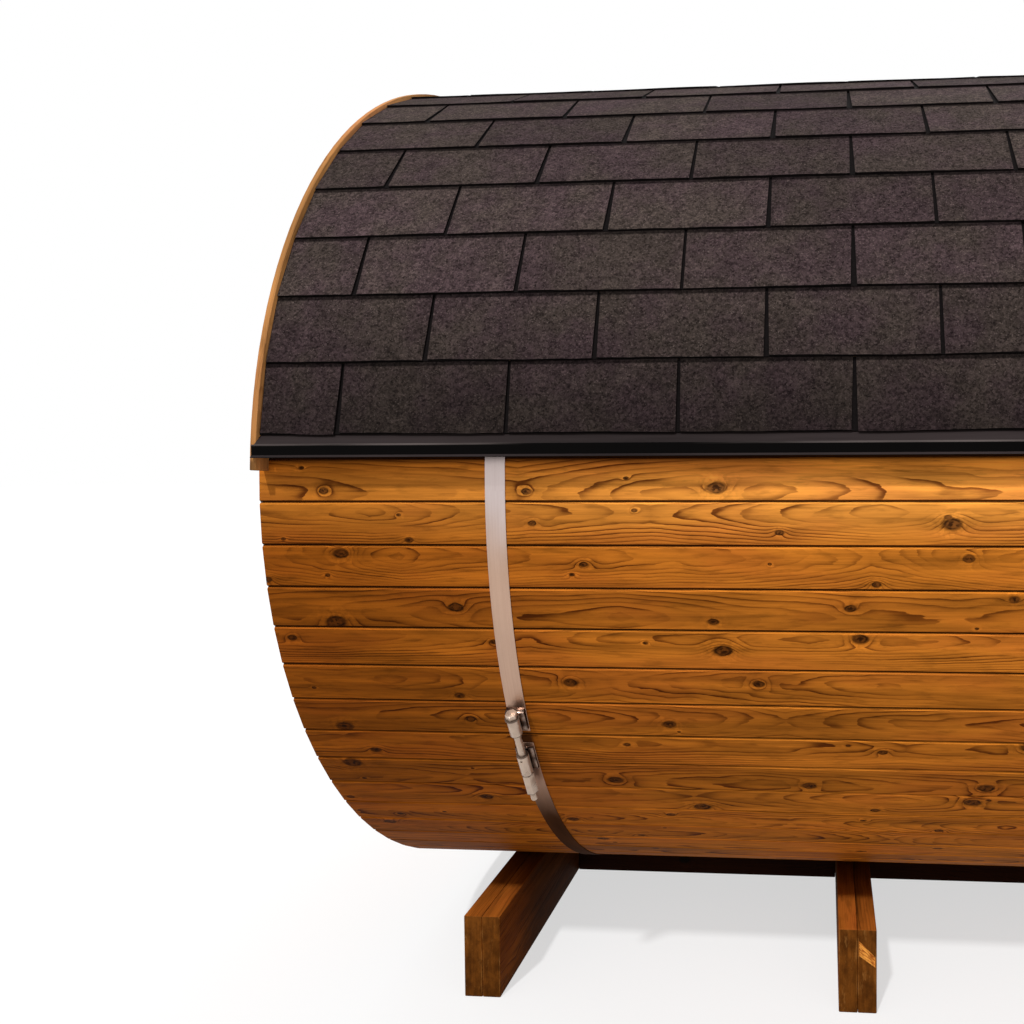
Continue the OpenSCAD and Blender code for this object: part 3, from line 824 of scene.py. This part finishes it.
def shingle_tab(bm, tone, course, left, right, rng):
    """One tab: a plate with slightly uneven edges, lying on its course."""
    low = -course_half(COURSE_IN_R + 2 * SHINGLE_T)
    high = course_half(COURSE_IN_R + SHINGLE_T)
    count = len(bm.verts)
    bmesh.ops.create_grid(bm, x_segments=10, y_segments=4, size=0.5)
    verts, faces = added(bm, count)
    bmesh.ops.scale(bm, vec=(right - left, high - low, 1), verts=verts)
    bmesh.ops.translate(bm, vec=((left + right) / 2, (low + high) / 2, 0), verts=verts)
    phase = rng.uniform(0, TAB_PHASE)
    sag = rng.uniform(*TAB_SAG)
    lift = rng.uniform(-TAB_LIFT, TAB_LIFT)
    tilt = rng.uniform(-TAB_TILT, TAB_TILT)
    lean_left = rng.uniform(0.0, TAB_LEAN)
    lean_right = rng.uniform(0.0, TAB_LEAN)
    for vert in verts:
        share = (high - vert.co.y) / (high - low)
        along = (vert.co.x - left) / (right - left)
        wave = math.sin(along * TAB_WAVES + phase)
        inside = 0.5 - abs(along - 0.5)
        fray = rng.uniform(-TAB_FRAY, TAB_FRAY)
        vert.co.y += share * (TAB_INSET + wave * sag + tilt * (along - 0.5) + fray)
        vert.co.x += share * (lean_left * (1 - along) - lean_right * along)
        vert.co.z = COURSE_IN_R + SHINGLE_T + share * SHINGLE_T
        vert.co.z -= share * (TAB_DROP + TAB_RIPPLE * wave + lift * min(1, 4 * inside))
    bmesh.ops.solidify(bm, geom=faces, thickness=SHINGLE_T - TAB_GAP)
    verts, faces = added(bm, count)
    bm.normal_update()
    surface = rng.random()
    for face in faces:
        middle = face.calc_center_median()
        share = (high - middle.y) / (high - low)
        outer = abs(face.normal.z) > 0.7 and middle.z > COURSE_IN_R + SHINGLE_T * (0.8 + 0.5 * share)
        face.material_index = 0 if outer else 1
        face[tone] = surface
    bmesh.ops.transform(bm, matrix=course_frame(course), verts=verts)


def shingled_side(name, node, half_turn, seed):
    """All courses of one side of the roof. The far side is turned half round."""
    rng = random.Random(seed)
    bm = bmesh.new()
    tone = bm.faces.layers.float.new("tab_tone")
    end = ROOF_L / 2
    for course in range(COURSE_COUNT):
        course_bed(bm, course)
        first = FIRST_SLOT_X - TAB_PITCH / (2 if course % 2 else 1)
        slots = [first + i * TAB_PITCH + rng.uniform(-SLOT_STRAY, SLOT_STRAY) for i in range(SLOT_COUNT)]
        slots = [x for x in slots if abs(x) < end - LEAST_TAB_W]
        lefts = [-end] + [x + SLOT_W / 2 for x in slots]
        rights = [x - SLOT_W / 2 for x in slots] + [end]
        for left, right in zip(lefts, rights):
            shingle_tab(bm, tone, course, left, right, rng)
    if half_turn:
        bmesh.ops.rotate(bm, cent=(0, 0, 0), matrix=Matrix.Rotation(math.pi, 3, "Z"), verts=bm.verts)
    piece(name, bm, "shingle", node, FELT_AND_SLOT_SHADE)


shingled_side("near_shingle_tabs", "near_shingles", False, 11)
shingled_side("far_shingle_tabs", "far_shingles", True, 12)

# Tabs of the ridge cap: how uneven they lie, and their thickness at the head and up to the butt
RIDGE_TABS = 22
RIDGE_STRAY = 0.002
RIDGE_SKEW = 0.0015
RIDGE_HEAD_T = 0.0006
RIDGE_SWELL = 0.0040
RIDGE_GRIT = 0.0003


def ridge_seat(slope):
    """Height of the topmost course's face over the barrel's axis, at a place up its slope."""
    head_r = COURSE_IN_R + SHINGLE_T
    fall = SHINGLE_T / (course_half(head_r + SHINGLE_T) + course_half(head_r))
    return head_r + SEAT_GAP + (course_half(head_r) - slope) * fall


def ridge_tab(left, right, rng):
    """One bent tab over the ridge: thick at its right end, where it lies on the next one."""
    bm = bmesh.new()
    bmesh.ops.create_grid(bm, x_segments=5, y_segments=8, size=0.5)
    high = course_half(COURSE_IN_R + SHINGLE_T)
    low = high - CAP_W + rng.uniform(0.0, RIDGE_STRAY)
    skew = rng.uniform(-RIDGE_SKEW, RIDGE_SKEW)
    drawn = bmesh.ops.extrude_face_region(bm, geom=bm.faces[:])["geom"]
    lifted = set(only(bmesh.types.BMVert, drawn))
    middle = [face for face in bm.faces if all(vert.co.y > 0.499 for vert in face.verts)]
    bmesh.ops.delete(bm, geom=middle, context="FACES")
    for vert in bm.verts:
        share, rise = vert.co.x + 0.5, vert.co.y + 0.5
        slope = low + rise * (high - low)
        out = ridge_seat(slope)
        if vert in lifted:
            out += RIDGE_HEAD_T + share * RIDGE_SWELL - rng.uniform(0.0, RIDGE_GRIT)
        vert.co = (left + share * (right - left) + skew * share * (1 - rise), slope, out)
        if rise > 0.999:
            vert.co.y = out * math.tan(COURSE_ANGLE / 2)
    for face in bm.faces:
        face.material_index = 0 if set(face.verts) <= lifted else 1
    bmesh.ops.transform(bm, matrix=course_frame(COURSE_COUNT - 1), verts=bm.verts)
    bmesh.ops.mirror(bm, geom=bm.verts[:] + bm.edges[:] + bm.faces[:], axis="Y", merge_dist=1e-5)
    bmesh.ops.remove_doubles(bm, verts=bm.verts, dist=1e-5)
    return bm


def ridge_cap():
    """A row of bent tabs from end to end."""
    rng = random.Random(21)
    bm = bmesh.new()
    tone = bm.faces.layers.float.new("tab_tone")
    step = ROOF_L / RIDGE_TABS
    for i in range(RIDGE_TABS):
        left = -ROOF_L / 2 + i * step
        count = len(bm.faces)
        join(bm, ridge_tab(left, left + step, rng))
        surface = rng.random()
        for face in bm.faces[count:]:
            face[tone] = surface
    piece("ridge_cap_tabs", bm, "shingle", "ridge_cap", FELT_AND_SLOT_SHADE)


ridge_cap()


def merged_copy(name):
    """A bmesh of a node, with its loose triangles joined and its flat faces made whole."""
    bm = bmesh.new()
    bm.from_mesh(nodes[name].data)
    for face in bm.faces:
        face.material_index = 0
    bmesh.ops.remove_doubles(bm, verts=bm.verts, dist=1e-6)
    bmesh.ops.dissolve_limit(bm, angle_limit=math.radians(0.2), verts=bm.verts, edges=bm.edges)
    return bm


def soften(bm, edges, width, segments):
    """Rounds edges off."""
    bmesh.ops.bevel(
        bm, geom=edges, offset=width, offset_type="OFFSET", affect="EDGES", segments=segments, profile=0.5,
        material=-1, clamp_overlap=True,
    )


def sharp_edges(bm, least=40, most=180):
    """Edges where two faces meet at an angle between these, in degrees."""
    return [
        edge for edge in bm.edges
        if edge.is_manifold and math.radians(least) < edge.calc_face_angle(0) < math.radians(most)
    ]


def softened(name, node, slot, width, segments=2):
    """A node with the sharp edges taken off."""
    bm = merged_copy(node)
    soften(bm, sharp_edges(bm), width, segments)
    piece(name, bm, slot, node)


# How far the edges of each kind of piece are rounded off
FOOT_EDGE = 0.0025
TIE_EDGE = 0.003
STRIP_EDGE = 0.0015
BAND_EDGE = 0.0004
LUG_EDGE = 0.0008
SLEEVE_EDGE = 0.0009
FRAME_EDGE = 0.003
GRIP_EDGE = 0.004
SHEET_FOLD = 0.0022
LEAST_FOLD_L = 3.0

for end in ("left_end", "right_inner", "right_end"):
    softened(end + "_foot_boards", end + "_foot", "foot_wood", FOOT_EDGE)
for side in ("near", "far"):
    softened(side + "_tie_planks", side + "_tie_boards", "foot_wood", TIE_EDGE)
for end in ("left", "right"):
    softened(end + "_roof_strip", end + "_roof_edge", "edge_wood", STRIP_EDGE)
    softened(end + "_hoop_band", end + "_hoop", "hoop_steel", BAND_EDGE, 1)
    softened(end + "_lug_plates", end + "_hoop_lugs", "hoop_steel", LUG_EDGE)
    softened(end + "_bolt_sleeves", end + "_hoop_sleeves", "hoop_steel", SLEEVE_EDGE)
softened("door_frame_bars", "door_frame", "end_wood", FRAME_EDGE)
softened("door_grip_bar", "door_grip", "edge_wood", GRIP_EDGE, 3)


def folded_sheet(name, node):
    """The drip edge with rounded folds."""
    bm = merged_copy(node)
    folds = [edge for edge in sharp_edges(bm, 15, 80) if edge.calc_length() > LEAST_FOLD_L]
    soften(bm, folds, SHEET_FOLD, 3)
    piece(name, bm, "drip_metal", node)


folded_sheet("near_drip_sheet", "near_drip_edge")
folded_sheet("far_drip_sheet", "far_drip_edge")


def cut_out(bm, face, planes):
    """Splits a face along planes, given as a point and a direction, and returns the part behind them all."""
    for point, outwards in planes:
        geom = [face, *face.edges, *face.verts]
        cut = bmesh.ops.bisect_plane(bm, geom=geom, dist=1e-7, plane_co=point, plane_no=outwards)["geom"]
        parts = only(bmesh.types.BMFace, cut)
        point, outwards = Vector(point), Vector(outwards)
        face = min(parts, key=lambda part: (part.calc_center_median() - point).dot(outwards))
    return face


# Torn place on a foot's end: its rims beside the board's edges, the heights and falls of its slanting
# edges, its depth, and the fibres on its floor
TORN_LEFT_RIM = 0.0030
TORN_RIGHT_RIM = 0.0034
TORN_TOP_Z = 0.174
TORN_TOP_FALL = 0.98
TORN_LOW_Z = 0.138
TORN_LOW_FALL = 0.70
TORN_DEPTH = 0.0045
TORN_SLOPE = 0.0006
TORN_CUTS = 9
TORN_ZS = (0.09, 0.18)
TORN_SLACK = 0.001
FIBRE_FALL = 0.75
FIBRE_WAVES = 900
FIBRE_H = 0.0022


def splintered_foot():
    """The foot with a torn place in the near end of its right-hand board."""
    rng = random.Random(31)
    bm = merged_copy("left_inner_foot")
    soften(bm, sharp_edges(bm), FOOT_EDGE, 2)
    bm.normal_update()
    seam, near = -FOOT_PITCH / 2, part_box("left_inner_foot")[0][1]
    ends = [face for face in bm.faces if face.normal.y < -0.99 and face.calc_center_median().x > seam]
    near_ends = [face for face in ends if face.calc_center_median().y < near + 0.01]
    face = max(near_ends, key=lambda part: part.calc_area())
    left, right = seam + TORN_LEFT_RIM, seam + FOOT_BOARD_T - TORN_RIGHT_RIM
    torn = cut_out(bm, face, [
        ((left, near, TORN_LOW_Z), (-1, 0, 0)),
        ((right, near, TORN_LOW_Z), (1, 0, 0)),
        ((left, near, TORN_TOP_Z), (TORN_TOP_FALL, 0, 1)),
        ((left, near, TORN_LOW_Z), (-TORN_LOW_FALL, 0, -1)),
    ])
    bmesh.ops.inset_region(bm, faces=[torn], thickness=TORN_SLOPE, depth=-TORN_DEPTH)
    split = bmesh.ops.subdivide_edges(bm, edges=torn.edges, cuts=TORN_CUTS, use_grid_fill=True)
    for vert in only(bmesh.types.BMVert, split["geom_inner"]):
        fibre = vert.co.z + FIBRE_FALL * vert.co.x
        vert.co.y += FIBRE_H * math.sin(fibre * FIBRE_WAVES) * rng.uniform(0.4, 1.0)
    for face in bm.faces:
        middle = face.calc_center_median()
        deep = near + 0.0003 < middle.y < near + 2 * TORN_DEPTH
        beside = left - TORN_SLACK < middle.x < right + TORN_SLACK
        if deep and beside and TORN_ZS[0] < middle.z < TORN_ZS[1] and face not in ends:
            face.material_index = 1
    piece("left_inner_foot_boards", bm, "foot_wood", "left_inner_foot", TORN_WOOD)


splintered_foot()


def turned(profile, steps=32, closed=False):
    """A turned thing: a line of radius and height, spun about the height."""
    bm = bmesh.new()
    line = [bm.verts.new((radius, 0, height)) for radius, height in profile]
    pairs = list(zip(line, line[1:])) + ([(line[-1], line[0])] if closed else [])
    edges = [bm.edges.new(pair) for pair in pairs]
    bmesh.ops.spin(
        bm, geom=line + edges, cent=(0, 0, 0), axis=(0, 0, 1), dvec=(0, 0, 0), angle=2 * math.pi,
        steps=steps, use_merge=True, use_duplicate=False,
    )
    bmesh.ops.remove_doubles(bm, verts=bm.verts, dist=1e-6)
    return bm


# Thread and edges of the tension bolt
THREAD_STEPS = 24
THREAD_PITCH = 0.0021
THREAD_DEPTH = 0.0009
THREAD_SINK = 0.0002
TIP_EDGE = 0.0014
NECK_L = 0.003
WASHER_EDGE = 0.0006
WASHER_PLAY = 0.0004
HEAD_EDGE = 0.0010


def thread(low, high, core_r, crest_r):
    """A screw thread: a ridge that winds round a core. Its outline is in shares of the pitch."""
    bm = bmesh.new()
    root = core_r - THREAD_SINK
    outline = [(root, 0.0), (crest_r, 0.42), (crest_r, 0.50), (root, 0.92)]
    line = [bm.verts.new((radius, 0, low + share * THREAD_PITCH)) for radius, share in outline]
    edges = [bm.edges.new(pair) for pair in zip(line, line[1:] + line[:1])]
    turns = int((high - low) / THREAD_PITCH) - 1
    last = bmesh.ops.spin(
        bm, geom=line + edges, cent=(0, 0, 0), axis=(0, 0, 1), dvec=(0, 0, THREAD_PITCH / THREAD_STEPS),
        angle=2 * math.pi * turns, steps=THREAD_STEPS * turns, use_merge=False, use_duplicate=False,
    )["geom_last"]
    for rim in (line + edges, last):
        bmesh.ops.contextual_create(bm, geom=only(bmesh.types.BMEdge, rim))
    return bm


def hexagon(radius, low, high, edge):
    """A six-sided block with its edges taken off."""
    bm = bmesh.new()
    bmesh.ops.create_circle(bm, cap_ends=True, segments=6, radius=radius)
    bmesh.ops.translate(bm, vec=(0, 0, low), verts=bm.verts)
    extrude(bm, (0, 0, high - low))
    soften(bm, bm.edges[:], edge, 2)
    return bm


def tension_bolt(end, side):
    """Bolt with a six-sided head, a washer and a thread at its tip."""
    place = (
        Matrix.Translation((side * HOOP_X, 0, AXIS_Z))
        @ Matrix.Rotation(math.pi / 2 + TENSIONER_ANGLE, 4, "X")
        @ Matrix.Translation((0, 0, BOLT_AXIS_R))
        @ Matrix.Rotation(-math.pi / 2, 4, "X")
    )
    core_r = BOLT_R - THREAD_DEPTH
    neck = NUT_LOW + NECK_L
    shank = [
        (0, BOLT_TIP), (core_r - TIP_EDGE, BOLT_TIP), (core_r, BOLT_TIP + TIP_EDGE), (core_r, neck),
        (BOLT_R, neck), (BOLT_R, WASHER_TOP), (0, WASHER_TOP),
    ]
    hole = BOLT_R + WASHER_PLAY
    washer = [
        (hole, WASHER_LOW), (WASHER_R - WASHER_EDGE, WASHER_LOW), (WASHER_R, WASHER_LOW + WASHER_EDGE),
        (WASHER_R, WASHER_TOP - WASHER_EDGE), (WASHER_R - WASHER_EDGE, WASHER_TOP), (hole, WASHER_TOP),
    ]
    bm = bmesh.new()
    join(bm, turned(shank), place)
    join(bm, thread(BOLT_TIP + TIP_EDGE, neck + NECK_L, core_r, BOLT_R), place)
    join(bm, turned(washer, closed=True), place)
    join(bm, hexagon(HEAD_R, WASHER_TOP, HEAD_TOP, HEAD_EDGE), place)
    piece(end + "_tension_bolt", bm, "hoop_steel", end + "_hoop_bolt")


tension_bolt("left", -1)
tension_bolt("right", 1)


def plate(low, high, edge):
    """A flat block between two corners, with its edges taken off."""
    bm = bmesh.new()
    bmesh.ops.create_cube(bm, size=1.0)
    bmesh.ops.scale(bm, vec=[b - a for a, b in zip(low, high)], verts=bm.verts)
    bmesh.ops.translate(bm, vec=[(a + b) / 2 for a, b in zip(low, high)], verts=bm.verts)
    soften(bm, bm.edges[:], edge, 2)
    return bm


# Screws and edges of the door hinges
SCREW_R = 0.0042
SCREW_TOP_R = 0.0034
SCREW_EDGE = 0.0004
SCREW_H = 0.0012
SCREW_SLOT_W = 0.0010
SCREW_SLOT_DEPTH = 0.0007
SCREW_OFF = 0.026
SCREW_RISES = (-0.034, 0.0, 0.034)
HINGE_PLAY = 0.0003
HINGE_EDGE = 0.0008
KNUCKLE_EDGE = 0.0006
KNUCKLE_COUNT = 5


def screw_head():
    """A low round head with a slot."""
    profile = [(0, 0), (SCREW_R, 0), (SCREW_R, SCREW_EDGE), (SCREW_TOP_R, SCREW_H), (0, SCREW_H)]
    bm = turned(profile, 20)
    bmesh.ops.dissolve_limit(bm, angle_limit=math.radians(1), verts=bm.verts, edges=bm.edges)
    face = max(bm.faces, key=lambda face: face.calc_center_median().z)
    half = SCREW_SLOT_W / 2
    slot = cut_out(bm, face, [((0, half, SCREW_H), (0, 1, 0)), ((0, -half, SCREW_H), (0, -1, 0))])
    bmesh.ops.inset_region(bm, faces=[slot], thickness=0.00005, depth=-SCREW_SLOT_DEPTH)
    return bm


def door_hinges():
    """Two flat hinges, with split knuckles and slotted screws."""
    rng = random.Random(41)
    bm = bmesh.new()
    front = HINGE_FACE_X + HINGE_T
    outwards = Matrix.Rotation(math.pi / 2, 4, "Y")
    part = HINGE_H / KNUCKLE_COUNT
    inner_r = KNUCKLE_R - KNUCKLE_EDGE
    for middle in (AXIS_Z - HINGE_RISE, AXIS_Z + HINGE_RISE):
        low, high = middle - HINGE_H / 2, middle + HINGE_H / 2
        for side in (-1, 1):
            near, far = sorted((HINGE_Y + side * HINGE_PLAY, HINGE_Y + side * HINGE_LEAF_W))
            join(bm, plate((HINGE_FACE_X, near, low), (front, far, high), HINGE_EDGE))
            for rise in SCREW_RISES:
                spot = Matrix.Translation((front, HINGE_Y + side * SCREW_OFF, middle + rise))
                turn = Matrix.Rotation(rng.uniform(0, math.pi), 4, "Z")
                join(bm, screw_head(), spot @ outwards @ turn)
        for i in range(KNUCKLE_COUNT):
            foot, top = low + i * part + HINGE_PLAY, low + (i + 1) * part - HINGE_PLAY
            knuckle = turned([
                (0, foot), (inner_r, foot), (KNUCKLE_R, foot + KNUCKLE_EDGE),
                (KNUCKLE_R, top - KNUCKLE_EDGE), (inner_r, top), (0, top),
            ], 20)
            join(bm, knuckle, Matrix.Translation((HINGE_FACE_X + KNUCKLE_R, HINGE_Y, 0)))
    piece("door_hinge_leaves", bm, "hinge_metal", "door_hinges")


door_hinges()

# Studio: how strongly the surroundings light the object, and the floor's tones and glow
WHITE = (1, 1, 1, 1)
SKY_STRENGTH = 0.68
FLOOR_REACH = 60
FLOOR_BOUNCE = (0.46, 0.43, 0.40, 1)
FLOOR_PALE = (0.9, 0.9, 0.9, 1)
FLOOR_GLOW = 0.62

# Strength of each light, and its softness, azimuth and elevation in degrees
LIGHTS = {
    "key_light": (2.2, 3, -18, 51),
    "back_light": (0.8, 30, 150, 50),
}

# Camera at the photograph's viewing angle: angles in degrees, shift in picture widths
CAMERA_PLACE = (-0.5315, -2.6709, 1.2932)
CAMERA_TURN = -4.0
CAMERA_TILT = -1.608
CAMERA_ROLL = -0.220
CAMERA_SHIFT = (-0.25, -0.022)
FOCAL_PX = 812.2
PICTURE_PX = 1024
SENSOR_MM = 36


def end_graph(graph, kind, lights, shows):
    """Ends a graph: one shader lights the object, the other is what the camera and mirrors show."""
    seen = graph.out("LightPath", "Is Camera Ray", {})
    for name in ("Is Glossy Ray", "Is Transmission Ray"):
        seen = graph.math("MAXIMUM", seen, graph.out("LightPath", name, {}))
    graph.node("Output" + kind, {"Surface": graph.out("MixShader", 0, {"Fac": seen, 1: lights, 2: shows})})


def surroundings():
    """White all round, but a softer light than it looks."""
    world = bpy.data.worlds.new("studio")
    bpy.context.scene.world = world
    graph = Graph(world)
    lights = graph.out("Background", 0, {"Color": WHITE, "Strength": SKY_STRENGTH})
    end_graph(graph, "World", lights, graph.out("Background", 0, {"Color": WHITE}))


def studio_floor():
    """Pale floor that takes the object's shadow."""
    look = bpy.data.materials.new("studio_floor")
    graph = Graph(look)
    lights = graph.out("BsdfDiffuse", 0, {"Color": FLOOR_BOUNCE})
    pale = graph.out("BsdfDiffuse", 0, {"Color": FLOOR_PALE})
    glow = graph.out("Emission", 0, {"Color": WHITE})
    end_graph(graph, "Material", lights, graph.out("MixShader", 0, {"Fac": FLOOR_GLOW, 1: pale, 2: glow}))
    bm = bmesh.new()
    bmesh.ops.create_grid(bm, x_segments=1, y_segments=1, size=FLOOR_REACH)
    mesh = bpy.data.meshes.new("floor")
    bm.to_mesh(mesh)
    bm.free()
    mesh.materials.append(look)
    floor = placed("floor", mesh)


def studio_lights():
    """A key light from the upper left and a soft one from behind."""
    for name, (strength, softness, azimuth, elevation) in LIGHTS.items():
        data = bpy.data.lights.new(name, "SUN")
        data.energy = strength
        data.angle = math.radians(softness)
        a, e = math.radians(azimuth), math.radians(elevation)
        towards = Vector((math.sin(a) * math.cos(e), -math.cos(a) * math.cos(e), math.sin(e)))
        lamp = placed(name, data)
        lamp.rotation_mode = "QUATERNION"
        lamp.rotation_quaternion = towards.to_track_quat("Z", "Y")


def camera():
    """The camera, with its lens given by the focal length in pixels."""
    data = bpy.data.cameras.new("camera")
    data.sensor_width = SENSOR_MM
    data.lens = FOCAL_PX / PICTURE_PX * SENSOR_MM
    data.shift_x, data.shift_y = CAMERA_SHIFT
    made = placed("camera", data)
    made.matrix_world = (
        Matrix.Translation(CAMERA_PLACE)
        @ Matrix.Rotation(math.radians(-CAMERA_TURN), 4, "Z")
        @ Matrix.Rotation(math.radians(90 + CAMERA_TILT), 4, "X")
        @ Matrix.Rotation(math.radians(CAMERA_ROLL), 4, "Z")
    )
    bpy.context.scene.camera = made


surroundings()
studio_floor()
studio_lights()
camera()
bpy.context.scene.view_settings.view_transform = "Standard"
